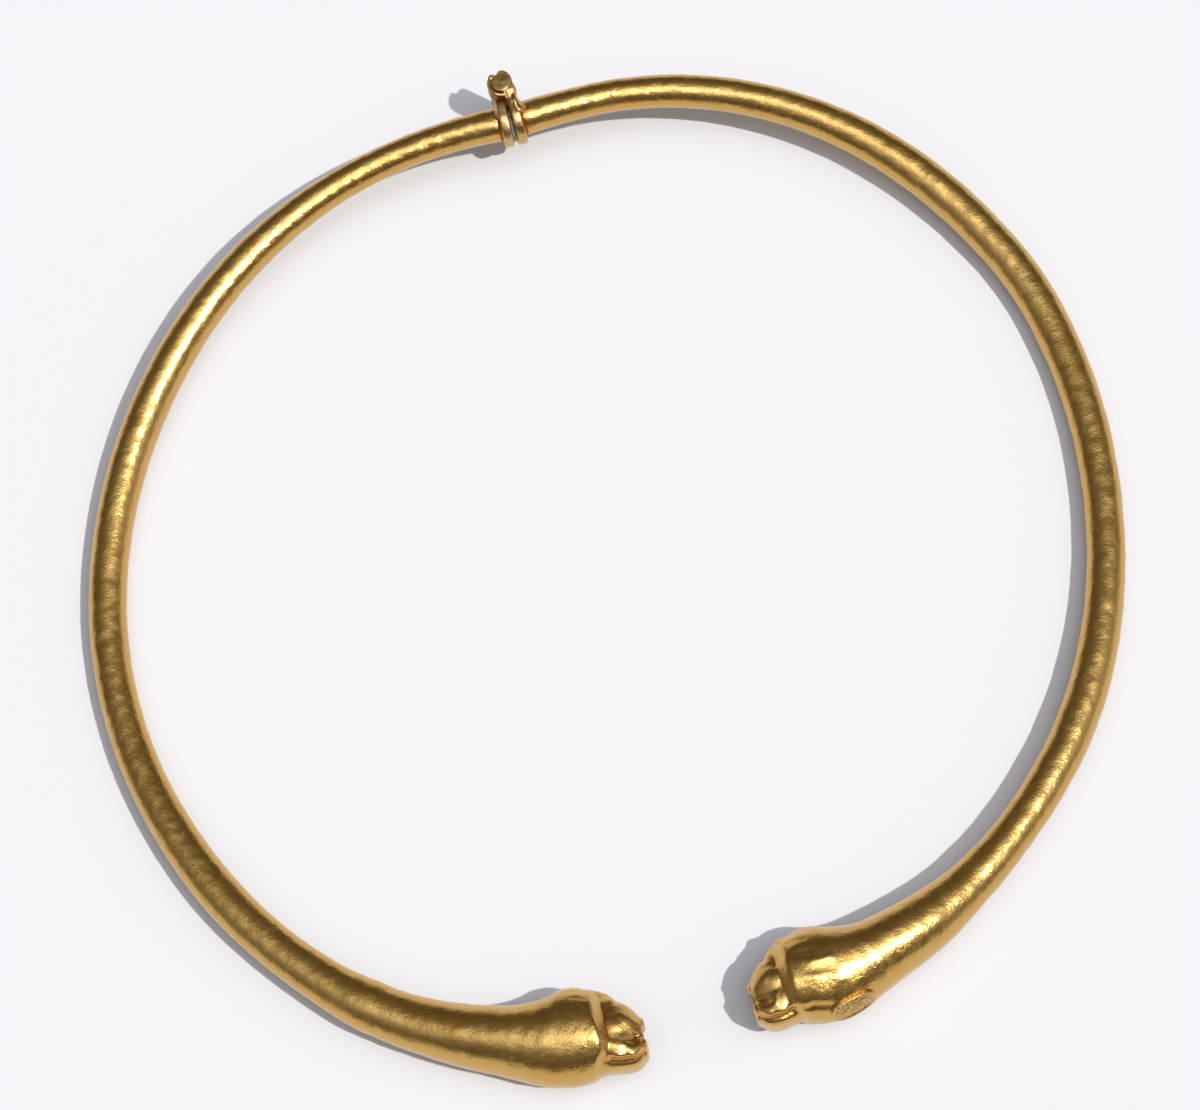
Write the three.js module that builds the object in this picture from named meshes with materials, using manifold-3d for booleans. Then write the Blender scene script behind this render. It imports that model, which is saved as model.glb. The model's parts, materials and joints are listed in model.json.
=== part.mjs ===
// Gold torc: two curved tubular arms, each ending in a lion head, joined at
// the back by a hinge of two end plates, rolled knuckles and a vertical pin.
// Millimetres, +Z up, hinge at the back (+Y), the gap between the heads at -Y.
import * as THREE from 'three';
import Module from 'manifold-3d';
import { mergeVertices } from 'three/addons/utils/BufferGeometryUtils.js';

// Real sizes
const GAP = 0.25;                 // clearance between neighbouring pieces
const PIN = [1.25, 67.05];        // hinge axis in plan
const HINGE_Z = 9.7;              // tube axis height at the hinge
const LOW_Z = 3.0;                // tube axis height at the sides of the neck
const HEAD_Z = 6.4;               // tube axis height at the heads
const LOW_AT = 0.46;              // where along an arm the axis is lowest
const SET_BACK = 0.65;            // the sides lie this much further back than the hinge
const PLATE_R = 3.4;              // end plates: radius
const PLATE_T = 1.35;             // and thickness
const PLATE_OFF = 4.3;            // tube axis inside of the hinge axis
const SQUARE_TO = 2.0;            // the plates are squarer towards the pin, up to here
const PLATE_GAP = 0.1;            // between the two plates when they are parallel
const WEDGE = 3.5;                // plates stand open by this many degrees
const SPREAD = 8.0;               // and the tubes leave them at this angle to each other
const HINGE_TURN = 2.0;           // hinge mid plane turned from straight ahead
const KNUCKLE_R = 1.95;
const BORE_R = 1.22;
const PIN_R = BORE_R - 0.08;        // the pin turns freely in the rolled knuckles
const PIN_HEAD_R = 1.15;
const PIN_HEAD_H = 0.35;
const BARREL_Z = [5.9, 13.5];     // rolled knuckles: bottom and top
const MID_Z = [8.45, 10.95];      // the middle knuckle belongs to the left leaf
const RIGHT_LEN = 202.6;          // plate to the front of the head, along the arm
const LEFT_LEN = RIGHT_LEN - 2.6;
const DRAWN_AT = 202.6;           // the arcs are drawn for this RIGHT_LEN and grow with it

// Plan of each arm: tangent arcs from the plate, radius and length; the last
// one runs on to the front of the head
const RIGHT_ARCS = [[94.3, 8.0], [54.4, 67.2], [73.5, 56.3], [65.7, Infinity]];
const LEFT_ARCS = [[69.2, 17.4], [60.3, 33.7], [66.9, 89.7], [62.4, Infinity]];

// Tube radius against distance from the plate
const RIGHT_R = [[0, 2.4], [6, 2.3], [25, 2.38], [40, 2.55], [55, 2.75], [78, 2.75],
  [120, 2.65], [145, 2.78], [156, 2.75], [162, 2.8], [168, 3.05]];
const LEFT_R = [[0, 2.4], [5, 2.3], [22, 2.25], [38, 2.5], [60, 2.7], [85, 2.65],
  [120, 2.7], [138, 2.9], [150, 2.95], [158, 3.15], [164, 3.5]];

// How far the tube leans towards the neck against distance back from the front
// of the head: the hand-bent ring wanders a little from its arcs
const RIGHT_LEAN = [[0, 0.8], [3, 0.75], [5, 1.0], [8, 1.12], [11, 1.0], [14, 0.65], [18, 0.3], [22, -0.08],
  [30, -0.25], [38, -0.2], [48, -0.15], [56, -0.2], [70, -0.1], [90, 0.05], [112, -0.25], [124, -0.35],
  [134, 0.1], [146, 0.2], [156, 0.05], [190, -0.1], [196, 0.0], [202, 0.0]];
const LEFT_LEAN = [[0, 0.3], [4, 0.45], [7.5, 0.85], [10, 0.9], [13, 0.55], [16, 0.45], [20, 0.08],
  [28, -0.24], [38, -0.28], [48, 0.0], [60, 0.12], [72, 0.22], [84, 0.12], [104, 0.02], [120, 0.12],
  [136, 0.2], [152, 0.18], [168, 0.08], [184, 0.0], [200, 0.0]];

// Head outline against distance back from its front: crown side (towards the
// neck), throat side, and half width across the cheeks, as if the mane ran on
// to the front; the face lies lower by the step
const HEAD = [[0, 3.0, 3.5, 3.7], [0.45, 3.5, 3.95, 4.3], [1.0, 4.1, 4.35, 4.7], [2.1, 5.0, 4.65, 5.15],
  [3.5, 5.55, 4.75, 5.45], [4.8, 6.0, 4.95, 5.65], [6.1, 6.3, 5.5, 5.8], [7.45, 6.4, 6.05, 5.85],
  [8.8, 6.6, 6.4, 5.9], [10.1, 6.55, 6.45, 5.88], [11.4, 6.3, 6.35, 5.8], [12.8, 5.7, 6.0, 5.7],
  [14.1, 5.2, 5.8, 5.55], [15.4, 4.8, 5.45, 5.4], [16.8, 4.5, 5.15, 5.25], [18.1, 4.4, 4.85, 5.1],
  [19.4, 4.35, 4.6, 4.95], [22.1, 4.25, 4.3, 4.7], [24.7, 4.05, 4.05, 4.4], [27.4, 3.9, 3.9, 4.15],
  [33, 3.75, 3.75, 3.8], [36, 3.5, 3.5, 3.5]];
// The mane's edge by angle from the crown: how far back it lies, how long its
// step down to the face is, and how deep
const RIGHT_STEP = [[0, 6.6, 1.4, 0.45], [30, 6.4, 1.9, 0.8], [55, 6.2, 2.0, 1.45],
  [75, 6.0, 1.9, 1.65], [90, 5.8, 1.8, 1.55], [105, 5.6, 1.6, 1.2], [120, 5.4, 1.4, 0.8],
  [135, 5.3, 1.2, 0.6], [150, 5.8, 1.0, 0.4], [180, 6.3, 0.8, 0.35]];
const LEFT_STEP = [[0, 6.9, 0.9, 0.4], [30, 6.9, 1.5, 0.75], [55, 6.8, 1.9, 1.5],
  [75, 6.5, 1.8, 1.7], [90, 6.1, 1.7, 1.5], [105, 5.8, 1.5, 1.1], [120, 5.8, 1.3, 0.75],
  [135, 6.2, 1.1, 0.55], [150, 6.5, 0.9, 0.4], [180, 6.6, 0.8, 0.35]];
// Larger forms of the face and mane, each a soft stroke: from and to as
// distance back and degrees from the crown, then height and half breadth
const BROW = [2.6, 66, 3.4, 72, 0.5, 1.65];
const CHEEKS = [[1.3, 133, 1.5, 132, 0.3, 0.6], [2.9, 132, 3.2, 131, 0.34, 0.65]];
const EYE = [1.0, 102, 1.35, 107, -0.7, 0.85];
const EAR = [4.6, 8, 5.6, 14, 0.5, 0.75];
const FORELOCK = [3.6, 10, 3.8, 24, 0.2, 0.65];
const JAW_LINE = [0.7, 140, 4.0, 141, -0.5, 0.75];
const MANE_FOLD = [7.3, 64, 8.8, 69, -0.2, 0.55];
const FORMS = [BROW, ...CHEEKS, EYE, EAR, FORELOCK, JAW_LINE];
const MOUTH = [[-1.0, 1.3], [0.2, 1.0], [1.7, 0.7], [2.3, 0.45], [2.2, 0.1],
  [1.6, -0.2], [0.2, -0.75], [-1.0, -1.0]];   // back from the front, up the face
const MOUTH_HALF = 2.4;           // the mouth opens this far to each side

// Smooth curve through the rows of a table: column k at x
const table = (rows, x, k) => {
  const n = rows.length;
  if (x <= rows[0][0]) return rows[0][k];
  if (x >= rows[n - 1][0]) return rows[n - 1][k];
  const i = rows.findIndex((row) => x <= row[0]);
  const grade = (j) => (rows[j][k] - rows[j - 1][k]) / (rows[j][0] - rows[j - 1][0]);
  const slope = (j) => {
    if (j === 0 || j === n - 1) return 0;
    const back = rows[j][0] - rows[j - 1][0], on = rows[j + 1][0] - rows[j][0];
    return (grade(j) * on + grade(j + 1) * back) / (back + on);
  };
  const h = rows[i][0] - rows[i - 1][0], t = (x - rows[i - 1][0]) / h;
  const e = t * t * (3 - 2 * t);
  return rows[i - 1][k] * (1 - e) + rows[i][k] * e
    + h * t * (1 - t) * ((1 - t) * slope(i - 1) - t * slope(i));
};

// An arm: centre line in plan and height, radii, and which side it bends to
const makeArm = (side, arcs, len, radii, lean, step, forms) => {
  const turn = (HINGE_TURN + side * WEDGE / 2) * Math.PI / 180, grow = RIGHT_LEN / DRAWN_AT;
  const leave = (HINGE_TURN + side * SPREAD / 2) * Math.PI / 180;
  const px = side * (PLATE_GAP / 2 + PLATE_T), py = -PLATE_OFF;
  const x0 = PIN[0] + px * Math.cos(turn) - py * Math.sin(turn);
  const y0 = PIN[1] + px * Math.sin(turn) + py * Math.cos(turn);
  const plan = (s) => {
    let x = x0, y = y0, h = side > 0 ? leave : Math.PI + leave, left = s;
    for (const [r, l] of arcs) {
      const step = Math.min(left, l * grow), k = -side / (r * grow);
      x += (Math.sin(h + k * step) - Math.sin(h)) / k;
      y += (Math.cos(h) - Math.cos(h + k * step)) / k;
      h += k * step;
      left -= step;
      if (left <= 1e-9) break;
    }
    return [x, y, h];
  };
  // Height falls and rises as two half cosines; raised shows how much of the hinge's height is left
  const raised = (s) => (1 + Math.cos(Math.PI * Math.min(1, Math.max(0, s / len) / LOW_AT))) / 2;
  const height = (s) => {
    const u = Math.max(0, s / len);
    if (u < LOW_AT) return LOW_Z + (HINGE_Z - LOW_Z) * raised(s);
    return LOW_Z + (HEAD_Z - LOW_Z) * (1 - Math.cos(Math.PI * (u - LOW_AT) / (1 - LOW_AT))) / 2;
  };
  return { side, len, radii, lean, step, forms, turn, plan, raised, height };
};

const ease = (x) => {
  const t = Math.min(1, Math.max(0, x));
  return t * t * (3 - 2 * t);
};

// Radius of the arm's skin at s along it, at angle a from the inner side (crown)
const skin = (arm, s, a) => {
  const b = arm.len - s;
  if (b >= 36) return table(arm.radii, s, 1);
  const up = Math.cos(a), side = Math.sin(a);
  const degrees = Math.abs(Math.atan2(side, up)) * 180 / Math.PI;
  const down = Math.min(1, Math.max(0, (table(arm.step, degrees, 1) - b) / table(arm.step, degrees, 2)));
  const fall = (ease(down) + down ** 1.8) / 2;
  const lateral = up >= 0 ? table(HEAD, b, 1) : table(HEAD, b, 2);
  const n = 2 + 0.8 * Math.min(1, Math.max(0, (5 - b) / 4));
  let r = Math.pow(Math.pow(Math.abs(up) / lateral, n) + Math.pow(Math.abs(side) / table(HEAD, b, 3), n), -1 / n);
  r -= table(arm.step, degrees, 3) * fall;
  const across = degrees * 0.09;
  for (const [b1, d1, b2, d2, high, reach] of arm.forms) {
    const ds = b2 - b1, dq = (d2 - d1) * 0.09;
    const t = Math.min(1, Math.max(0, ((b - b1) * ds + (across - d1 * 0.09) * dq) / (ds * ds + dq * dq)));
    const far = Math.hypot(b - b1 - t * ds, across - d1 * 0.09 - t * dq);
    r += high * Math.exp(-((far / reach) ** (reach > 1 ? 2.6 : 2)));
  }
  return r + (table(arm.radii, s, 1) - r) * ease((b - 24) / 12);
};

const point = (arm, s, a, r) => {
  const [x, y, h] = arm.plan(s);
  const nx = arm.side * Math.sin(h), ny = -arm.side * Math.cos(h);
  const w = r * Math.cos(a) + table(arm.lean, arm.len - s, 1), v = r * Math.sin(a);
  return [x + nx * w, y + ny * w + SET_BACK * (1 - arm.raised(s)), arm.height(s) + v];
};

const solid = (verts, tris) => {
  const g = new THREE.BufferGeometry();
  g.setAttribute('position', new THREE.Float32BufferAttribute(verts.flat(), 3));
  g.setIndex(tris.flat());
  return g;
};

// Closed skin from rings of equal count, with a point at each end
const loft = (rings, first, last, flip) => {
  const n = rings[0].length, verts = [first], tris = [];
  rings.forEach((r) => verts.push(...r));
  verts.push(last);
  const add = (a, b, c) => tris.push(flip ? [a, c, b] : [a, b, c]);
  for (let i = 0; i < n; i++) add(0, 1 + (i + 1) % n, 1 + i);
  for (let j = 0; j + 1 < rings.length; j++) {
    for (let i = 0; i < n; i++) {
      const a = 1 + j * n + i, b = 1 + j * n + (i + 1) % n;
      add(a, b, b + n);
      add(a, b + n, a + n);
    }
  }
  const base = 1 + (rings.length - 1) * n, end = verts.length - 1;
  for (let i = 0; i < n; i++) add(end, base + i, base + (i + 1) % n);
  return solid(verts, tris);
};

// Arm with its head: rings along the tube, closer together on the head, then
// the slightly domed front of the face
const armGeometry = (arm) => {
  const N = 32, rings = [], stations = [0];
  for (let s = 1.2; s < 4; s += 1.4) stations.push(s);
  for (let s = 6; s < arm.len - 27; s += 7) stations.push(s);
  for (let b = 24; b > 12; b -= 1.5) stations.push(arm.len - b);
  for (let b = 11.6; b > 0.3; b -= 0.7) stations.push(arm.len - b);
  stations.push(arm.len);
  for (const s of stations) {
    const ring = [];
    for (let i = 0; i < N; i++) {
      const a = i / N * 2 * Math.PI;
      const signed = a > Math.PI ? a - 2 * Math.PI : a;
      ring.push(point(arm, s, a, skin(arm, s, signed)));
    }
    rings.push(ring);
  }
  for (const [f, out] of [[0.86, 0.3], [0.55, 0.42]]) {
    const ring = [];
    for (let i = 0; i < N; i++) {
      const a = i / N * 2 * Math.PI;
      ring.push(point(arm, arm.len + out, a, f * skin(arm, arm.len, a > Math.PI ? a - 2 * Math.PI : a)));
    }
    rings.push(ring);
  }
  return loft(rings, point(arm, 0, 0, 0), point(arm, arm.len + 0.45, 0, 0), arm.side > 0);
};

// Open mouth: a wedge cut into the front of the face
const mouthGeometry = (arm) => {
  const sides = [-MOUTH_HALF, MOUTH_HALF].map((v) => MOUTH.map(([b, w]) => {
    const p = point(arm, arm.len - b, 0, w);
    return [p[0], p[1], p[2] + v];
  }));
  const mid = (r) => [0, 1, 2].map((k) => r.reduce((t, p) => t + p[k], 0) / r.length);
  return loft(sides, mid(sides[0]), mid(sides[1]), arm.side > 0);
};

// Oval tile fixed on the throat side of the right terminal
const TILE = { back: 11.2, angle: 162, long: 3.05, half: 1.85, thick: 0.4 };
const tileGeometry = (arm) => {
  const N = 28, a0 = TILE.angle * Math.PI / 180, r0 = skin(arm, arm.len - TILE.back, a0);
  const at = (f, i, off) => {
    const t = i / N * 2 * Math.PI;
    const s = arm.len - TILE.back + f * TILE.long * Math.cos(t);
    const a = a0 + f * TILE.half * Math.sin(t) / r0;
    return point(arm, s, a, skin(arm, s, a > Math.PI ? a - 2 * Math.PI : a) + off);
  };
  const ring = (f, off) => Array.from({ length: N }, (_, i) => at(f, i, off));
  const low = GAP + 0.05, top = low + TILE.thick;
  const rings = [ring(0.5, low), ring(1, low), ring(1, top - 0.08), ring(0.9, top), ring(0.8, top - 0.12),
    ring(0.4, top - 0.12)];
  return loft(rings, at(0, 0, low), at(0, 0, top - 0.12), arm.side < 0);
};

const cylinder = (r, z0, z1, x = 0, y = 0, n = 40) => {
  const g = new THREE.CylinderGeometry(r, r, z1 - z0, n);
  g.rotateX(Math.PI / 2);
  g.translate(x, y, (z0 + z1) / 2);
  return g;
};
const box = (x0, x1, y0, y1, z0, z1) => {
  const g = new THREE.BoxGeometry(x1 - x0, y1 - y0, z1 - z0);
  g.translate((x0 + x1) / 2, (y0 + y1) / 2, (z0 + z1) / 2);
  return g;
};

const build = async () => {
  const wasm = await Module();
  wasm.setup();
  const { Manifold, Mesh } = wasm;
  const toM = (g) => {
    const c = g.clone();
    for (const k of Object.keys(c.attributes)) if (k !== 'position') c.deleteAttribute(k);
    const m = mergeVertices(c, 1e-5);
    return new Manifold(new Mesh({ numProp: 3, vertProperties: new Float32Array(m.attributes.position.array),
      triVerts: new Uint32Array(m.index.array) }));
  };
  const fromM = (m) => {
    const mesh = m.getMesh();
    const g = new THREE.BufferGeometry();
    g.setAttribute('position', new THREE.BufferAttribute(Float32Array.from(mesh.vertProperties), 3));
    g.setIndex([...mesh.triVerts]);
    return g;
  };

  const right = makeArm(1, RIGHT_ARCS, RIGHT_LEN, RIGHT_R, RIGHT_LEAN, RIGHT_STEP, [...FORMS, MANE_FOLD]);
  const left = makeArm(-1, LEFT_ARCS, LEFT_LEN, LEFT_R, LEFT_LEAN, LEFT_STEP, FORMS);
  const carve = (arm) => fromM(toM(armGeometry(arm)).subtract(toM(mouthGeometry(arm))));

  // Hinge leaf: round plate, the sheet that runs out of it, and the knuckles
  // rolled from that sheet; the other leaf's knuckles have room to turn
  const outer = [[MID_Z[1] + GAP, BARREL_Z[1]], [BARREL_Z[0], MID_Z[0] - GAP]];
  const leaf = (arm, own, other) => {
    const x0 = arm.side * PLATE_GAP / 2, x1 = arm.side * (PLATE_GAP / 2 + PLATE_T - GAP);
    const plate = new THREE.CylinderGeometry(PLATE_R, PLATE_R, Math.abs(x1 - x0), 48);
    plate.rotateZ(Math.PI / 2);
    plate.translate((x0 + x1) / 2, -PLATE_OFF, HINGE_Z);
    let m = toM(plate).add(toM(box(Math.min(x0, x1), Math.max(x0, x1), -PLATE_OFF, -PLATE_OFF + SQUARE_TO,
      HINGE_Z - PLATE_R + 0.1, HINGE_Z + PLATE_R - 0.1)));
    for (const [z0, z1] of other) {
      m = m.subtract(toM(cylinder(KNUCKLE_R + GAP, z0 - GAP, z1 + GAP)));
    }
    for (const [z0, z1] of own) {
      m = m.add(toM(cylinder(KNUCKLE_R, z0, z1)));
      const reach = Math.max(z0, HINGE_Z - PLATE_R), high = Math.min(z1, HINGE_Z + PLATE_R);
      m = m.add(toM(box(Math.min(x0, x1), Math.max(x0, x1), -PLATE_OFF, -0.4, reach + 0.05, high - 0.05)));
    }
    m = m.subtract(toM(cylinder(BORE_R, BARREL_Z[0] - 1, BARREL_Z[1] + 1)));
    const g = fromM(m);
    g.rotateZ(arm.turn);
    g.translate(PIN[0], PIN[1], 0);
    return g;
  };

  const z0 = BARREL_Z[0] - GAP, z1 = BARREL_Z[1] + GAP;
  const profile = [[0, z0 - PIN_HEAD_H], [PIN_HEAD_R + 0.2, z0 - PIN_HEAD_H], [PIN_HEAD_R + 0.35, z0 - 0.12],
    [PIN_HEAD_R + 0.35, z0], [PIN_R, z0], [PIN_R, z1], [PIN_HEAD_R + 0.2, z1], [PIN_HEAD_R + 0.2, z1 + 0.15],
    [PIN_HEAD_R, z1 + PIN_HEAD_H], [0, z1 + PIN_HEAD_H]].map(([x, y]) => new THREE.Vector2(x, y));
  const pin = new THREE.LatheGeometry(profile, 32);
  pin.rotateX(Math.PI / 2);
  pin.translate(PIN[0], PIN[1], 0);

  const pieces = [['right_arm', carve(right)], ['left_arm', carve(left)],
    ['right_hinge_leaf', leaf(right, outer, [MID_Z])], ['left_hinge_leaf', leaf(left, [MID_Z], outer)],
    ['hinge_pin', pin], ['stamp_plaque', tileGeometry(right)]];
  const all = new THREE.Box3();
  for (const [, g] of pieces) {
    g.computeBoundingBox();
    all.union(g.boundingBox);
  }
  const mid = all.getCenter(new THREE.Vector3());
  const group = new THREE.Group();
  for (const [name, g] of pieces) {
    g.computeVertexNormals();
    const mesh = new THREE.Mesh(g, new THREE.MeshStandardMaterial({ color: 0xd9a441, metalness: 1, roughness: 0.25 }));
    mesh.name = name;
    mesh.position.set(-mid.x, -mid.y, -all.min.z);
    group.add(mesh);
  }
  return group;
};

export default await build();
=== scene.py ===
import json
import math
import bpy
import numpy as np
from mathutils import Matrix, Vector


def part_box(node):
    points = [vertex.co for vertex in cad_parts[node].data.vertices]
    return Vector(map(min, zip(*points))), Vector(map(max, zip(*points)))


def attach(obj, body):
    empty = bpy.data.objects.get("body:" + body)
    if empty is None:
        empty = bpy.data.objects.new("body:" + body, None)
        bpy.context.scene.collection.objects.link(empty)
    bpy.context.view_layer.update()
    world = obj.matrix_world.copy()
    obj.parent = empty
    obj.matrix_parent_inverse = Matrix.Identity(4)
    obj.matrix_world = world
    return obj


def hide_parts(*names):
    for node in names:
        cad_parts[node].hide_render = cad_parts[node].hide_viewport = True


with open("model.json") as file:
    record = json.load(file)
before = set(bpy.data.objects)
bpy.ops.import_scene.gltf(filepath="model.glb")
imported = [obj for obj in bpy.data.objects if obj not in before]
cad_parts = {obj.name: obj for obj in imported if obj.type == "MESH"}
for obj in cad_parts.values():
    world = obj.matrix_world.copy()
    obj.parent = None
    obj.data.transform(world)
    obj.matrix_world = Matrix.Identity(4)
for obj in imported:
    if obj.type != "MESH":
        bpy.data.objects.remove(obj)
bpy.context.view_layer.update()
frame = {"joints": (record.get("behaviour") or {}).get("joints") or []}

# The two arms. Each is a hollow gold tube, hammered round over a core and bent
# to the neck, that swells into a lion's mane and head at its open end. Metal
# was pushed and chased from outside, so every form is soft at its edges.
# All sizes below are millimetres and the same as the CAD's.
MM = 0.001
WEDGE = 3.5          # the two end plates stand open by this many degrees,
SPREAD = 8.0         # the tubes leave them at this angle to each other
HINGE_TURN = 2.0     # and their middle is turned this far from straight ahead
PLATE_GAP = 0.1
PLATE_T = 1.35
PLATE_OFF = 4.3      # tube axis inside of the hinge axis
HINGE_Z = 9.7        # height of the tube's axis at the hinge,
LOW_Z = 3.0          # at the sides of the neck
HEAD_Z = 6.4         # and at the heads
LOW_AT = 0.46
SET_BACK = 0.65      # the sides lie this much further back than the hinge
PIN_FOOT = 5.3       # the pin's lower end in the CAD's own frame
hinge = Vector(frame["joints"][0]["pos_m"])
PIN_XY = np.array([hinge.x, hinge.y]) / MM
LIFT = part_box("hinge_pin")[0][2] / MM - PIN_FOOT

# Plan of an arm as tangent arcs of radius and length, tube radius against
# distance from the plate, and how far the tube leans towards the neck against
# distance back from the front of the head.
RIGHT = {
    "side": 1, "length": 202.6,
    "arcs": [(94.3, 8.0), (54.4, 67.2), (73.5, 56.3), (65.7, 200.0)],
    "radii": [(0, 2.4), (6, 2.3), (25, 2.38), (40, 2.55), (55, 2.75), (78, 2.75), (120, 2.65), (145, 2.78),
              (156, 2.75), (162, 2.8), (168, 3.05)],
    "lean": [(0, 0.8), (3, 0.75), (5, 1.0), (8, 1.12), (11, 1.0), (14, 0.65), (18, 0.3), (22, -0.08),
             (30, -0.25),
             (38, -0.2), (48, -0.15), (56, -0.2), (70, -0.1), (90, 0.05), (112, -0.25), (124, -0.35),
             (134, 0.1),
             (146, 0.2), (156, 0.05), (190, -0.1), (196, 0.0), (202, 0.0)],
}
LEFT = {
    "side": -1, "length": 200.0,
    "arcs": [(69.2, 17.4), (60.3, 33.7), (66.9, 89.7), (62.4, 200.0)],
    "radii": [(0, 2.4), (5, 2.3), (22, 2.25), (38, 2.5), (60, 2.7), (85, 2.65), (120, 2.7), (138, 2.9),
              (150, 2.95), (158, 3.15), (164, 3.5)],
    "lean": [(0, 0.3), (4, 0.45), (7.5, 0.85), (10, 0.9), (13, 0.55), (16, 0.45), (20, 0.08), (28, -0.24),
             (38, -0.28), (48, 0.0), (60, 0.12), (72, 0.22), (84, 0.12), (104, 0.02), (120, 0.12),
             (136, 0.2),
             (152, 0.18), (168, 0.08), (184, 0.0), (200, 0.0)],
}
# Head against distance back from its front: crown side, throat side and half
# width, as if the mane ran on to the front; the face lies lower by the step
HEAD = [(0, 3.0, 3.5, 3.7), (0.45, 3.5, 3.95, 4.3), (1.0, 4.1, 4.35, 4.7), (2.1, 5.0, 4.65, 5.15),
        (3.5, 5.55, 4.75, 5.45), (4.8, 6.0, 4.95, 5.65), (6.1, 6.3, 5.5, 5.8), (7.45, 6.4, 6.05, 5.85),
        (8.8, 6.6, 6.4, 5.9), (10.1, 6.55, 6.45, 5.88), (11.4, 6.3, 6.35, 5.8), (12.8, 5.7, 6.0, 5.7),
        (14.1, 5.2, 5.8, 5.55), (15.4, 4.8, 5.45, 5.4), (16.8, 4.5, 5.15, 5.25), (18.1, 4.4, 4.85, 5.1),
        (19.4, 4.35, 4.6, 4.95), (22.1, 4.25, 4.3, 4.7), (24.7, 4.05, 4.05, 4.4), (27.4, 3.9, 3.9, 4.15),
        (33, 3.75, 3.75, 3.8), (36, 3.5, 3.5, 3.5)]
# The mane's edge by angle from the crown: how far back it lies, how long its
# step down to the face is, and how deep
RIGHT["step"] = [(0, 6.6, 1.4, 0.45), (30, 6.4, 1.9, 0.8), (55, 6.2, 2.0, 1.45),
                 (75, 6.0, 1.9, 1.65), (90, 5.8, 1.8, 1.55), (105, 5.6, 1.6, 1.2),
                 (120, 5.4, 1.4, 0.8), (135, 5.3, 1.2, 0.6), (150, 5.8, 1.0, 0.4),
                 (180, 6.3, 0.8, 0.35)]
LEFT["step"] = [(0, 6.9, 0.9, 0.4), (30, 6.9, 1.5, 0.75), (55, 6.8, 1.9, 1.5), (75, 6.5, 1.8, 1.7),
                (90, 6.1, 1.7, 1.5), (105, 5.8, 1.5, 1.1), (120, 5.8, 1.3, 0.75),
                (135, 6.2, 1.1, 0.55), (150, 6.5, 0.9, 0.4), (180, 6.6, 0.8, 0.35)]
# Relief, each row a soft stroke: from and to as distance back from the front
# and degrees from the crown, then height and half breadth
BROW = (2.6, 66, 3.4, 72, 0.5, 1.65)
CHEEKS = [(1.3, 133, 1.5, 132, 0.3, 0.6), (2.9, 132, 3.2, 131, 0.34, 0.65)]
EYE = (1.0, 102, 1.35, 107, -0.7, 0.85)
EAR = (4.6, 8, 5.6, 14, 0.5, 0.75)
FORELOCK = (3.6, 10, 3.8, 24, 0.2, 0.65)
BOTH = [BROW, *CHEEKS, EYE, EAR, FORELOCK, (3.0, 0, 3.0, 28, -0.12, 0.35),
        (0.7, 140, 4.0, 141, -0.5, 0.75)]
RIGHT["relief"] = [(7.3, 64, 8.8, 69, -0.2, 0.55), (8.6, 84, 11.2, 88, 0.12, 0.4),
                   (7.8, 93, 10.8, 101, -0.07, 0.5),
                   (7.2, 101, 10.6, 114, 0.07, 0.55), (6.8, 42, 9.2, 46, -0.08, 0.5),
                   (7.6, 24, 10.0, 29, -0.08, 0.5),
                   (5.0, 138, 6.3, 141, -0.14, 0.5), (6.8, 140, 8.6, 147, -0.16, 0.5),
                   (2.9, 100, 2.3, 116, 0.14, 0.4)]
LEFT["relief"] = [(6.9, 60, 8.0, 57, -0.04, 0.4), (7.2, 47, 9.2, 47, -0.05, 0.42),
                  (7.4, 29, 9.6, 35, -0.05, 0.42),
                  (7.6, 16, 9.8, 20, -0.02, 0.5), (1.9, 109, 4.2, 100, -0.08, 0.55),
                  (2.5, 119, 2.4, 135, -0.12, 0.35)]


ROUND = 0.09         # millimetres round the face for one degree
SQUARE_FROM = 5.0    # the face grows squarer from here
SQUARE_RUN = 4.0     # over this length to the front
NECK_FROM = 24.0     # the head's outline turns into the tube's from here
NECK_RUN = 12.0      # over this length
UNDER = 0.075        # keeps the hammered skin inside the CAD's
SMALL_BLOWS = 0.012
WIDE_BLOWS = 0.014


def table(rows, x, column):
    """Smooth curve through the rows of a table: cubic Hermite between rows, slopes from both neighbours."""
    knots = np.array([row[0] for row in rows], float)
    values = np.array([row[column] for row in rows], float)
    gaps = np.diff(knots)
    grades = np.diff(values) / gaps
    slopes = np.zeros_like(values)
    slopes[1:-1] = (grades[:-1] * gaps[1:] + grades[1:] * gaps[:-1]) / (gaps[:-1] + gaps[1:])
    x = np.clip(x, knots[0], knots[-1])
    i = np.clip(np.searchsorted(knots, x, side="left"), 1, len(knots) - 1)
    t = (x - knots[i - 1]) / gaps[i - 1]
    e = t * t * (3 - 2 * t)
    return values[i - 1] * (1 - e) + values[i] * e + gaps[i - 1] * t * (1 - t) * (
        (1 - t) * slopes[i - 1] - t * slopes[i])


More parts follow.
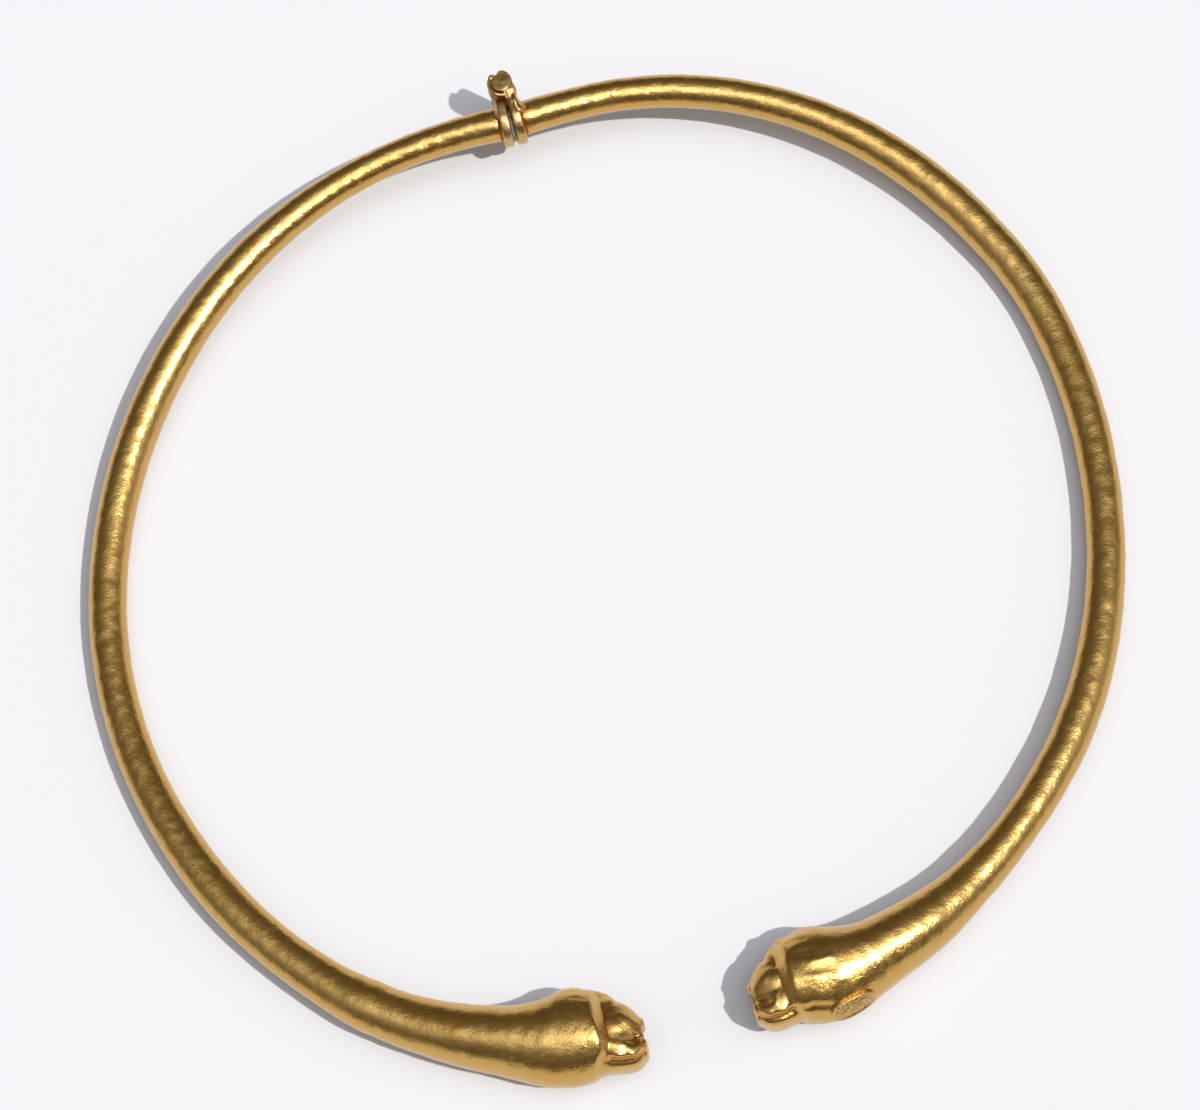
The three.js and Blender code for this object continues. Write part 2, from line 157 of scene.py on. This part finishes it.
def plan(arm, s):
    """Centre line s along the arm from the plate: x, y and heading, stepped over its tangent arcs."""
    side = arm["side"]
    turn = math.radians(HINGE_TURN + side * WEDGE / 2)
    leave = math.radians(HINGE_TURN + side * SPREAD / 2)
    px, py = side * (PLATE_GAP / 2 + PLATE_T), -PLATE_OFF
    x = np.full_like(s, PIN_XY[0] + px * math.cos(turn) - py * math.sin(turn))
    y = np.full_like(s, PIN_XY[1] + px * math.sin(turn) + py * math.cos(turn))
    heading = np.full_like(s, leave if side > 0 else math.pi + leave)
    left = s.copy()
    for radius, length in arm["arcs"]:
        step = np.clip(left, -50, length)
        k = -side / radius
        x = x + (np.sin(heading + k * step) - np.sin(heading)) / k
        y = y + (np.cos(heading) - np.cos(heading + k * step)) / k
        heading = heading + k * step
        left = np.maximum(left - step, 0)
    return x, y, heading


def place(arm, s, w, v):
    """Point w towards the neck and v up from the centre line, which falls and rises as two half cosines."""
    x, y, heading = plan(arm, s)
    u = np.maximum(s, 0) / arm["length"]
    raised = (1 + np.cos(np.pi * np.minimum(u / LOW_AT, 1))) / 2
    back = LOW_Z + (HINGE_Z - LOW_Z) * raised
    front = LOW_Z + (HEAD_Z - LOW_Z) * (1 - np.cos(np.pi * (u - LOW_AT) / (1 - LOW_AT))) / 2
    w = w + table(arm["lean"], arm["length"] - s, 1)
    y = y + SET_BACK * (1 - raised)
    return np.stack([x + arm["side"] * np.sin(heading) * w, y - arm["side"] * np.cos(heading) * w,
                     np.where(u < LOW_AT, back, front) + v + LIFT], axis=-1)


def waves(s, a, seed, count, wave, most_round):
    """Sum of cosines along s, each a whole number of times round the tube, about 1 high."""
    rng = np.random.RandomState(seed)
    total = np.zeros_like(s)
    for _ in range(count):
        k = 2 * math.pi / (wave * rng.uniform(0.7, 1.6))
        total += np.cos(k * s + rng.randint(-most_round, most_round + 1) * a + rng.uniform(0, 6.28))
    return total / math.sqrt(count)


def skin(arm, s, a, seed):
    """Radius at s and angle a from the crown, a rounded box less the step plus strokes, and its red share: painted
    shade at the foot of the step, in grooves and in the eye pit, and redder metal next to the plate.

    The box is the radius whose cosine and sine shares, to the power n, add up to 1; n is 2 for an oval. A stroke
    falls off as e to the minus square of distance over reach; a wide one, to the power 2.6, is flatter on top.
    """
    b = arm["length"] - s
    up, side = np.cos(a), np.sin(a)
    degrees = np.degrees(np.abs(np.arctan2(side, up)))
    crown_or_throat = np.where(up >= 0, table(HEAD, b, 1), table(HEAD, b, 2))
    edge, run, depth = (table(arm["step"], degrees, k) for k in (1, 2, 3))
    fall = np.clip((edge - b) / run, 0, 1)
    fall = (fall * fall * (3 - 2 * fall) + fall ** 1.8) / 2
    n = 2 + 0.8 * np.clip((SQUARE_FROM - b) / SQUARE_RUN, 0, 1)
    head = ((np.abs(up) / crown_or_throat) ** n + (np.abs(side) / table(HEAD, b, 3)) ** n) ** (-1 / n)
    head = head - depth * fall
    # Painted shade: a red tint in the crease at the foot of the mane's step, standing in for shade and for gold
    # reflected in gold.
    painted_shade_and_red_tint = np.exp(-((b - edge + run + 0.1) / 0.35) ** 2) * np.clip(0.6 * depth - 0.5, 0, 1)
    across = degrees * ROUND
    for b1, d1, b2, d2, high, reach in BOTH + arm["relief"]:
        ds, dq = b2 - b1, (d2 - d1) * ROUND
        t = np.clip(((b - b1) * ds + (across - d1 * ROUND) * dq) / (ds * ds + dq * dq), 0, 1)
        far = np.hypot(b - b1 - t * ds, across - d1 * ROUND - t * dq)
        stroke = np.exp(-(far / reach) ** (2.6 if reach > 1 else 2))
        head = head + high * stroke
        # Painted shade: grooves and the eye pit are tinted red as deep as they are.
        painted_shade_and_red_tint = painted_shade_and_red_tint - 1.1 * min(high, 0) * stroke
    blend = np.clip((b - NECK_FROM) / NECK_RUN, 0, 1)
    radius = head + (table(arm["radii"], s, 1) - head) * blend * blend * (3 - 2 * blend)
    hammer = np.clip((b - 5) / 6, 0.2, 1)
    radius = radius - UNDER + hammer * (SMALL_BLOWS * waves(s, a, seed, 22, 2.6, 5)
                                        + WIDE_BLOWS * waves(s, a, seed + 1, 10, 6.0, 2))
    # Redder metal next to the plate; within 14 mm of the front the head's painted shade is used instead.
    redder_by_plate = 0.7 * np.exp(-(s / 0.9) ** 2)
    return radius, np.clip(np.where(b < 14, painted_shade_and_red_tint, redder_by_plate), 0, 1)


def new_material(name):
    material = bpy.data.materials.new(name)
    material.use_nodes = True
    nodes = material.node_tree.nodes
    return material, nodes, material.node_tree.links, nodes["Principled BSDF"]


def node(nodes, kind, inputs=None, **settings):
    made = nodes.new(kind)
    for key, value in settings.items():
        setattr(made, key, value)
    for key, value in (inputs or {}).items():
        made.inputs[key].default_value = value
    return made


def gold_material(name, colour, red, roughness, dents, grain):
    """Worked gold: hammer dents and fine grain in the bump, and redder metal in random patches and where the point
    attribute asks for it, which on the heads is painted shade in creases and hollows.
    """
    material, nodes, links, shader = new_material(name)
    shader.inputs["Metallic"].default_value = 1.0
    where = node(nodes, "ShaderNodeTexCoord")
    # Point attribute of red share: painted shade in the heads' creases, grooves, eye pit and mouth, and redder metal
    # next to the plate and on the hinge pieces.
    painted_shade_and_red_tint = node(nodes, "ShaderNodeAttribute", attribute_name="painted_shade_and_red_tint")
    patches = node(nodes, "ShaderNodeTexNoise", {"Scale": 260.0, "Detail": 3.0})
    links.new(where.outputs["Object"], patches.inputs["Vector"])
    stain = node(nodes, "ShaderNodeMapRange", {"From Min": 0.45, "From Max": 0.8, "To Min": 0.0, "To Max": 0.3})
    links.new(patches.outputs["Fac"], stain.inputs["Value"])
    deep = node(nodes, "ShaderNodeMath", operation="ADD", use_clamp=True)
    links.new(stain.outputs["Result"], deep.inputs[0])
    links.new(painted_shade_and_red_tint.outputs["Fac"], deep.inputs[1])
    tint = node(nodes, "ShaderNodeMix", data_type="RGBA")
    tint.inputs["A"].default_value = (*colour, 1.0)
    tint.inputs["B"].default_value = (*red, 1.0)
    links.new(deep.outputs[0], tint.inputs["Factor"])
    links.new(tint.outputs["Result"], shader.inputs["Base Color"])
    worn = node(nodes, "ShaderNodeTexNoise", {"Scale": 900.0, "Detail": 3.0})
    links.new(where.outputs["Object"], worn.inputs["Vector"])
    rough = node(nodes, "ShaderNodeMapRange", {"From Min": 0.3, "From Max": 0.7, "To Min": roughness * 0.75,
                                               "To Max": roughness * 1.3})
    links.new(worn.outputs["Fac"], rough.inputs["Value"])
    links.new(rough.outputs["Result"], shader.inputs["Roughness"])
    hammer = node(nodes, "ShaderNodeTexNoise", {"Scale": 620.0, "Detail": 1.5, "Roughness": 0.45})
    links.new(where.outputs["Object"], hammer.inputs["Vector"])
    blows = node(nodes, "ShaderNodeBump", {"Strength": dents, "Distance": 0.0004})
    links.new(hammer.outputs["Fac"], blows.inputs["Height"])
    sand = node(nodes, "ShaderNodeTexNoise", {"Scale": 3200.0, "Detail": 3.0, "Roughness": 0.6})
    links.new(where.outputs["Object"], sand.inputs["Vector"])
    fine = node(nodes, "ShaderNodeBump", {"Strength": grain, "Distance": 0.00004})
    links.new(sand.outputs["Fac"], fine.inputs["Height"])
    links.new(blows.outputs["Normal"], fine.inputs["Normal"])
    links.new(fine.outputs["Normal"], shader.inputs["Normal"])
    return material


ARM_GOLD = gold_material("gold_arm", (0.605, 0.378, 0.11), (0.68, 0.29, 0.075), 0.22, 0.25, 1.15)


def add_piece(name, verts, faces, material, body, cad_node, red_tint_and_painted_shade):
    """Puts millimetre points into a smooth mesh that rides on a body and takes the CAD node's place."""
    mesh = bpy.data.meshes.new(name)
    mesh.from_pydata((np.asarray(verts, float) * MM).tolist(), [], faces)
    mesh.validate()
    mesh.update()
    mesh.polygons.foreach_set("use_smooth", [True] * len(mesh.polygons))
    mesh.materials.append(material)
    # Per-point red share: painted shade in hollows, and an even redder tint where a piece is given one.
    painted_shade_and_red_tint = mesh.attributes.new("painted_shade_and_red_tint", "FLOAT", "POINT")
    painted_shade_and_red_tint.data.foreach_set("value", np.broadcast_to(np.asarray(red_tint_and_painted_shade, np.float32), (len(verts),)).copy())
    obj = bpy.data.objects.new(name, mesh)
    bpy.context.collection.objects.link(obj)
    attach(obj, body)
    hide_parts(cad_node)


def strip(first, count, cols, flip):
    """Quads between the rings of a grid, each ring closed on itself."""
    j, i = np.meshgrid(np.arange(count - 1), np.arange(cols), indexing="ij")
    a, k = first + j * cols, (i + 1) % cols
    quads = np.stack([a + i, a + k, a + k + cols, a + i + cols], axis=-1).reshape(-1, 4)
    return (quads[:, ::-1] if flip else quads).tolist()


DOME = 0.42          # how far the front of the face bulges
MOUTH_DEEP = 1.6
MOUTH_HALF_HIGH = 0.75
MOUTH_HALF_WIDE = 2.2


def make_arm(name, arm, body, seed):
    """Rings along the tube, twice as many points round the head, and the domed front with its mouth.

    The front stands out as the root of 1 less the 4th power of the share of the radius. The mouth is a slot whose
    depth rises at its edges as 1 over 1 plus e to the distance outside it.
    """
    length, flip, coarse, fine = arm["length"], arm["side"] < 0, 96, 192
    tube_rows = np.arange(0, length - 24.0, 0.5)
    head_rows = np.arange(length - 23.6, length + 0.001, 0.13)
    verts, painted_shades_and_red_tints, faces, first = [], [], [], 0
    for rows, cols in ((tube_rows, coarse), (head_rows, fine)):
        s, a = np.meshgrid(rows, np.arange(cols) / cols * 2 * math.pi, indexing="ij")
        radius, painted_shade_and_red_tint = skin(arm, s, a, seed)
        verts.append(place(arm, s, radius * np.cos(a), radius * np.sin(a)).reshape(-1, 3))
        painted_shades_and_red_tints.append(painted_shade_and_red_tint.reshape(-1))
        faces += strip(first, len(rows), cols, flip)
        first += len(rows) * cols
    high = len(tube_rows) * coarse
    low = high - coarse
    seam = [(low + i, low + (i + 1) % coarse, high + (2 * i + 2) % fine, high + 2 * i + 1, high + 2 * i)
            for i in range(coarse)]
    faces += [face[::-1] for face in seam] if flip else seam
    a = np.arange(fine) / fine * 2 * math.pi
    edge, _ = skin(arm, np.full(fine, length), a, seed)
    f, a = np.meshgrid(np.linspace(0.98, 0.03, 30), a, indexing="ij")
    w, v = f * edge * np.cos(a), f * edge * np.sin(a)
    mouth = (1 / (1 + np.exp((np.abs(w - 0.1) - MOUTH_HALF_HIGH) / 0.12))
             / (1 + np.exp((np.abs(v) - MOUTH_HALF_WIDE) / 0.15)))
    out = DOME * np.sqrt(np.clip(1 - f ** 4, 0, 1)) - MOUTH_DEEP * mouth
    verts.append(place(arm, length + out, w, v).reshape(-1, 3))
    # Painted shade: the mouth slot is tinted red as deep as it is.
    painted_shades_and_red_tints.append(mouth.reshape(-1))
    faces += strip(first - fine, 31, fine, flip)
    last = list(range(first + 29 * fine, first + 30 * fine))
    start = list(range(coarse))
    faces += [last[::-1], start] if flip else [last, start[::-1]]
    add_piece(name, np.concatenate(verts), faces, ARM_GOLD, body, name, np.concatenate(painted_shades_and_red_tints))


make_arm("right_arm", RIGHT, "right_half", 5)
make_arm("left_arm", LEFT, "left_half", 11)

# The hinge. Each leaf is a thick round plate soldered over a tube's end, with
# knuckles rolled from its own sheet round the pin: two on the right leaf, one
# between them on the left. Solder fills the corners and is tinted redder there.
PLATE_R = 3.4
BARREL = (5.9, 13.5)
MIDDLE = (8.45, 10.95)
ROOM = 0.25
HINGE_GOLD = gold_material("gold_hinge", (0.58, 0.38, 0.15), (0.50, 0.22, 0.08), 0.27, 0.35, 0.9)


def loft(name, rings, material, body, cad_node, red_tint_and_painted_shade=0.0):
    """Skin through rings of points with an end face at both ends, turned outwards."""
    rings = np.array(rings, float)
    count, cols = rings.shape[:2]
    verts = rings.reshape(-1, 3)
    quads = np.array(strip(0, count, cols, False))
    corners = verts[quads]
    normals = np.cross(corners[:, 2] - corners[:, 0], corners[:, 3] - corners[:, 1])
    inside_out = (corners.mean(axis=1) * normals).sum() - (verts.mean(axis=0) * normals.sum(axis=0)).sum() < 0
    faces = quads.tolist() + [list(range(cols))[::-1], list(range((count - 1) * cols, count * cols))]
    faces = [face[::-1] for face in faces] if inside_out else faces
    add_piece(name, verts, faces, material, body, cad_node, red_tint_and_painted_shade)


def on_leaf(arm, x, y, z):
    """Point of a leaf: x along its tube, y outwards from the pin."""
    turn = math.radians(HINGE_TURN + arm["side"] * WEDGE / 2)
    x = arm["side"] * np.asarray(x, float)
    return np.stack(np.broadcast_arrays(PIN_XY[0] + x * math.cos(turn) - y * math.sin(turn),
                                        PIN_XY[1] + x * math.sin(turn) + y * math.cos(turn), z + LIFT),
                                        axis=-1)


def end_plate(name, arm, body, cad_node, seed):
    """Hand-cut disc with a worn rim, squarer and cut short towards the pin, where the other leaf's knuckles turn."""
    theta = np.linspace(0, 2 * math.pi, 96, endpoint=False)
    short = (PLATE_OFF - 2.2) / np.maximum(np.cos(theta), 0.05)
    power = np.where(np.cos(theta) > 0, 4.0, 2.0)
    edge = PLATE_R * (np.abs(np.cos(theta)) ** power + np.abs(np.sin(theta)) ** power) ** (-1 / power)
    edge = (edge ** -10.0 + short ** -10.0) ** -0.1
    edge = edge - 0.04 + 0.03 * waves(np.zeros_like(theta), theta, seed, 8, 1.0, 5)
    x0, x1 = PLATE_GAP / 2, PLATE_GAP / 2 + PLATE_T
    steps = [(x0, 2.2), (x0, 0.8), (x0, 0.3), (x0 + 0.05, 0.14), (x0 + 0.16, 0.03), (x0 + 0.35, 0.0),
             (x1 - 0.35, 0.0), (x1 - 0.16, 0.03), (x1 - 0.05, 0.14), (x1, 0.3), (x1, 0.8), (x1, 2.2)]
    rings = [on_leaf(arm, x, -PLATE_OFF + (edge - inset) * np.cos(theta),
                     HINGE_Z + (edge - inset) * np.sin(theta))
             for x, inset in steps]
    loft(name, rings, HINGE_GOLD, body, cad_node)


SEAM_R = 1.43


def knuckle(name, arm, body, cad_node, low, high, outline):
    """Rolled sheet, its outline given as radius by angle round the pin, its sides upright and its rim rounded.

    Two grooves in its top fall off as e to the minus square of the distance: the roll's seam, an arc round the pin,
    and the joint between the roll and its neck.
    """
    angle = np.linspace(0, 2 * math.pi, 144, endpoint=False)
    degrees = np.degrees(angle)
    rim = table(outline, degrees, 1)
    seam = 1 / (1 + np.exp((np.abs(degrees - 207) - 58) / 5))
    steps = [(0.0, 1.0), (0.08, 1.0), (0.2, 1.0), (0.5, 1.0), (0.8, 1.0), (0.9, 0.985), (0.96, 0.955),
             (1.0, 0.9)]
    steps += [(1.0, share) for share in np.linspace(0.84, 0.0, 24)]
    rings = []
    for rise, share in steps:
        r = 0.9 + (rim - 0.9) * share
        x, y = r * np.cos(angle), r * np.sin(angle)
        groove = 0.55 * seam * np.exp(-((r - SEAM_R) / 0.1) ** 2)
        joint = 0.3 * np.exp(-((x - 0.2) / 0.1) ** 2) / (1 + np.exp((y + 1.5) / 0.08))
        dip = (groove + joint + 0.25 * np.clip(-1.3 - y, 0, 1)) * (rise == 1.0)
        rings.append(on_leaf(arm, x, y, low + (high - low) * rise - dip))
    loft(name, rings, HINGE_GOLD, body, cad_node, 0.12)


def solder(name, arm, body, cad_node, own, top, reach):
    """Fillet in the corner of knuckle, plate and tube: a hollow quarter round whose size falls as a root upwards."""
    t = np.linspace(0, math.pi / 2, 18)
    low = HINGE_Z - 0.2
    rings = []
    for z in np.linspace(low, top, 32):
        share = math.sqrt(max(top + 0.02 - z, 0) / (top - low))
        inside = min(max(min(z - own[0], own[1] - z) / 0.7, 0), 1)
        begin = -1.95 + 1.35 * inside * inside * (3 - 2 * inside)
        end = -PLATE_OFF + math.sqrt(max(2.3 ** 2 - (z - HINGE_Z) ** 2, 0.0) + 0.3) - 0.25
        wide, x0 = reach * share, 1.27 + 0.33 * share
        hollow = np.stack([x0 + wide * (1 - np.cos(t)), begin + (end - begin) * np.sin(t)], axis=1)
        back = np.array([(x0 + 0.8 * wide, end - 0.5), (x0 + 0.3 * wide, end - 0.7), (0.8, end - 0.7),
                         (0.8, begin - 0.4)])
        outline = np.concatenate([hollow, back])
        rings.append(on_leaf(arm, outline[:, 0], outline[:, 1], z))
    loft(name, rings, HINGE_GOLD, body, cad_node, 0.5)


end_plate("right_plate", RIGHT, "right_half", "right_hinge_leaf", 3)
end_plate("left_plate", LEFT, "left_half", "left_hinge_leaf", 4)

# Outlines of the knuckles, degrees from the tube's direction and radius: the
# upper one's lip stands off at its far side, and its neck runs down to the plate
UPPER = [(0, 1.55), (32, 1.69), (60, 1.88), (75, 1.93), (88, 1.78), (100, 1.5), (107, 1.42), (113, 1.48),
         (119, 1.82),
         (125, 2.0), (140, 1.97), (160, 1.95), (200, 1.95), (250, 1.95), (262, 1.96), (270, 2.15),
         (277, 3.1), (285, 3.15),
         (293, 3.1), (305, 2.35), (325, 1.86), (345, 1.6), (360, 1.55)]
PLAIN = [(0, 1.75), (40, 1.8), (180, 1.85), (255, 1.9), (268, 1.95), (276, 3.1), (285, 3.15), (293, 3.1),
         (305, 2.35),
         (325, 1.9), (345, 1.78), (360, 1.75)]
knuckle("right_knuckle_top", RIGHT, "right_half", "right_hinge_leaf", MIDDLE[1] + ROOM, BARREL[1], UPPER)
knuckle("right_knuckle_low", RIGHT, "right_half", "right_hinge_leaf", BARREL[0], MIDDLE[0] - ROOM, PLAIN)
knuckle("left_knuckle", LEFT, "left_half", "left_hinge_leaf", MIDDLE[0], MIDDLE[1], PLAIN)
solder("right_solder", RIGHT, "right_half", "right_hinge_leaf", (MIDDLE[1] + ROOM, BARREL[1]), 13.4, 2.1)
solder("left_solder", LEFT, "left_half", "left_hinge_leaf", MIDDLE, 12.9, 1.1)

# The hinge pin: a gold rod whose upper end was hammered flat and spread a
# little over the knuckle, which left rings of fine marks in it.
theta = np.linspace(0, 2 * math.pi, 72, endpoint=False)
profile = [(0.25, 5.35), (0.9, 5.38), (1.2, 5.5), (1.22, 5.65), (1.1, 5.75), (1.1, 13.45), (1.24, 13.5),
           (1.29, 13.57),
           (1.26, 13.66), (1.14, 13.71), (1.0, 13.67), (0.87, 13.72), (0.73, 13.68), (0.58, 13.73),
           (0.4, 13.69),
           (0.25, 13.73), (0.1, 13.72)]
uneven = waves(np.zeros_like(theta), theta, 8, 6, 1.0, 3)
rings = [np.stack([PIN_XY[0] + (r + 0.02 * uneven) * np.cos(theta),
                   PIN_XY[1] + (r + 0.02 * uneven) * np.sin(theta),
                   z + LIFT + (0.03 * np.cos(theta + 2.0 * r) if z > 13.5 else 0.0 * theta)], axis=1)
         for r, z in profile]
loft("pin", rings, HINGE_GOLD, "left_half", "hinge_pin", 0.0)

# The plaque: an oval of thin gold laid on the right terminal's throat side,
# with a rim that stands up round a field roughened by a small punch. Its
# marks are left out on purpose.
PLAQUE_GOLD = gold_material("gold_plaque", (0.60, 0.39, 0.14), (0.50, 0.25, 0.08), 0.26, 0.1, 1.0)
BACK, ANGLE, HALF_LONG, HALF_WIDE = 11.2, math.radians(162), 2.95, 1.75
t = np.linspace(0, 2 * math.pi, 180, endpoint=False)
base, _ = skin(RIGHT, np.array([RIGHT["length"] - BACK]), np.array([ANGLE]), 5)
edge_steps = [(0.5, 0.03), (0.97, 0.03), (1.0, 0.08), (1.0, 0.25), (0.985, 0.38), (0.955, 0.45),
              (0.92, 0.43),
              (0.88, 0.34)]
field_steps = [(f, 0.3) for f in np.linspace(0.84, 0.02, 34)]
boxy = (np.abs(np.cos(t)) ** 3 + np.abs(np.sin(t)) ** 3) ** (-1 / 3)
punches = np.random.RandomState(21).uniform(-1, 1, (260, 2))
rings = []
for f, lift in edge_steps + field_steps:
    here = np.stack([f * boxy * np.cos(t), f * boxy * np.sin(t)], axis=1)
    s = RIGHT["length"] - BACK + HALF_LONG * here[:, 0]
    a = ANGLE + HALF_WIDE * here[:, 1] / base[0]
    far = np.linalg.norm((here[:, None] - punches[None]) * (HALF_LONG, HALF_WIDE), axis=2).min(axis=1)
    radius, _ = skin(RIGHT, s, a, 5)
    radius = radius + lift - (0.1 * np.exp(-(far / 0.13) ** 2) if f < 0.83 else 0.0)
    rings.append(place(RIGHT, s, radius * np.cos(a), radius * np.sin(a)))
loft("plaque", rings, PLAQUE_GOLD, "right_half", "stamp_plaque", 0.1)

# The floor and the light: pale paper, one hard lamp from the front right, a
# broad bright cloth overhead and a dim room, which the gold mirrors.
paper, _, _, paper_shader = new_material("pale_paper")
PAPER = (0.726, 0.720, 0.729, 1.0)
paper_shader.inputs["Base Color"].default_value = PAPER
paper_shader.inputs["Roughness"].default_value = 0.9
sheet = bpy.data.meshes.new("floor")
sheet.from_pydata([(-2, -2, 0), (2, -2, 0), (2, 2, 0), (-2, 2, 0)], [], [(0, 1, 2, 3)])
sheet.materials.append(paper)
floor = bpy.data.objects.new("floor", sheet)
bpy.context.collection.objects.link(floor)

LAMP_WAY = Vector((0.434, -0.380, 1.0)).normalized()
key = bpy.data.lights.new("key", "SUN")
key.energy = 2.5
key.angle = math.radians(1.2)
key.color = (1.0, 0.98, 0.95)
key_object = bpy.data.objects.new("key", key)
key_object.rotation_euler = LAMP_WAY.to_track_quat("Z", "Y").to_euler()
bpy.context.collection.objects.link(key_object)

world = bpy.data.worlds.new("room")
bpy.context.scene.world = world
world.use_nodes = True
room, wires = world.node_tree.nodes, world.node_tree.links
where = node(room, "ShaderNodeTexCoord")
split = node(room, "ShaderNodeSeparateXYZ")
wires.new(where.outputs["Generated"], split.inputs["Vector"])
ramp = node(room, "ShaderNodeValToRGB")
stops = ramp.color_ramp.elements
stops[0].color, stops[1].color = (0.14, 0.122, 0.09, 1), (0.2, 0.18, 0.14, 1)
stops.new(0.4).color = (0.13, 0.112, 0.078, 1)
wires.new(split.outputs["Z"], ramp.inputs["Fac"])
# The cloth is an oval round 7 degrees right of and 8 in front of overhead,
# and its light falls off as e to the minus distance to the power 1.5
oval = node(room, "ShaderNodeMapping", {"Location": (-0.12 / 0.5, 0.14 / 0.24, 0), "Scale": (1 / 0.5, 1 / 0.24, 0)})
wires.new(where.outputs["Generated"], oval.inputs["Vector"])
away = node(room, "ShaderNodeVectorMath", operation="LENGTH")
wires.new(oval.outputs["Vector"], away.inputs[0])
steep = node(room, "ShaderNodeMath", {1: 1.5}, operation="POWER")
wires.new(away.outputs["Value"], steep.inputs[0])
minus = node(room, "ShaderNodeMath", {1: -1.0}, operation="MULTIPLY")
wires.new(steep.outputs[0], minus.inputs[0])
cloth = node(room, "ShaderNodeMath", operation="EXPONENT")
wires.new(minus.outputs[0], cloth.inputs[0])
both = node(room, "ShaderNodeMix", data_type="RGBA", blend_type="ADD")
both.inputs["B"].default_value = (2.95, 3.2, 3.95, 1.0)
wires.new(cloth.outputs[0], both.inputs["Factor"])
wires.new(ramp.outputs["Color"], both.inputs["A"])
wires.new(both.outputs["Result"], room["Background"].inputs["Color"])
bpy.context.scene.view_settings.view_transform = "Standard"

# The camera stands as in the photograph: 665 mm away, leaning back from
# straight overhead, with the ring turned 12.2 degrees in the picture.
RING_TURNED = 12.2
CAMERA_AWAY = 665
LEAN_BACK = (0.07, -0.365, 1.0)
spin = Matrix.Rotation(math.radians(-RING_TURNED), 3, "Z")
toward = spin @ Vector(LEAN_BACK).normalized()
cam_up = spin @ Vector((0.0, 1.0, 0.0))
cam_right = cam_up.cross(toward).normalized()
cam_up = toward.cross(cam_right)
target = Vector((hinge.x - 1.25 * MM, hinge.y - 67.05 * MM, 5 * MM))
cam_data = bpy.data.cameras.new("photo_camera")
cam_data.lens = 150.0
cam_data.sensor_width = 36.0
cam_data.clip_start = 0.01
camera = bpy.data.objects.new("photo_camera", cam_data)
camera.matrix_world = Matrix.Translation(target + toward * CAMERA_AWAY * MM) @ Matrix(
    (cam_right, cam_up, toward)).transposed().to_4x4()
bpy.context.collection.objects.link(camera)
bpy.context.scene.camera = camera
